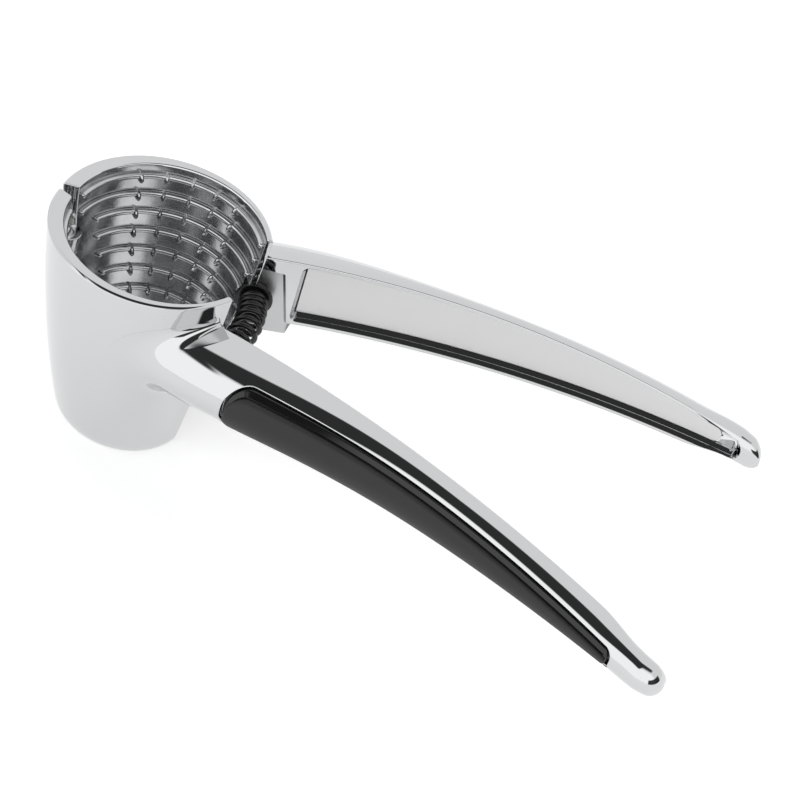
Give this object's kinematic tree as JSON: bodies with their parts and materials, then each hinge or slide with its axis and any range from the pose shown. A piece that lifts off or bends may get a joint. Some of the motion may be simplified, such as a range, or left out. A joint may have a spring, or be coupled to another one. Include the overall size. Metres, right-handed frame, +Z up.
{
  "type": "sprung cup nutcracker",
  "caption": "Hand-held nutcracker: two ribbed half-cup jaws on an upright hinge pin, held open by a coil spring, with two long curved handles and inlaid grips.",
  "frame": {"origin": "bottom centre of the bounding box, with the handles as far open as the spring holds them", "axes": "+X from the hinge to the handle tips, +Z up along the hinge pin, out of the wide mouth of the cup; the rear arm is on +Y"},
  "size_m": [0.187, 0.102, 0.055],
  "materials": {
    "polished_casting": "polished, plated zinc casting",
    "satin_metal": "satin",
    "gloss_black": "gloss",
    "soft_black": "matte, fine-grained",
    "black_plastic": "semi-gloss",
    "black_spring": "gloss black",
    "steel_pin": "turned"
  },
  "bodies": {
    "rear_arm": {"rear_jaw_arm": "polished_casting", "rear_spring_washer": "black_plastic", "rear_grip_carrier": "gloss_black", "rear_grip_pad": "soft_black", "rear_inner_plate": "satin_metal", "hinge_pin": "steel_pin", "return_spring": "black_spring"},
    "front_arm": {"front_jaw_arm": "polished_casting", "front_spring_washer": "black_plastic", "front_grip_carrier": "gloss_black", "front_grip_pad": "soft_black", "front_inner_plate": "satin_metal"}
  },
  "joints": [
    {"name": "squeeze", "type": "hinge", "parent": "rear_arm", "child": "front_arm", "pos_m": [-0.089, 0, 0.0344], "axis": [0, 0, 1], "range_deg": [0, 25], "stiffness_Nm_per_rad": 5, "deforming": ["return_spring"]}
  ]
}
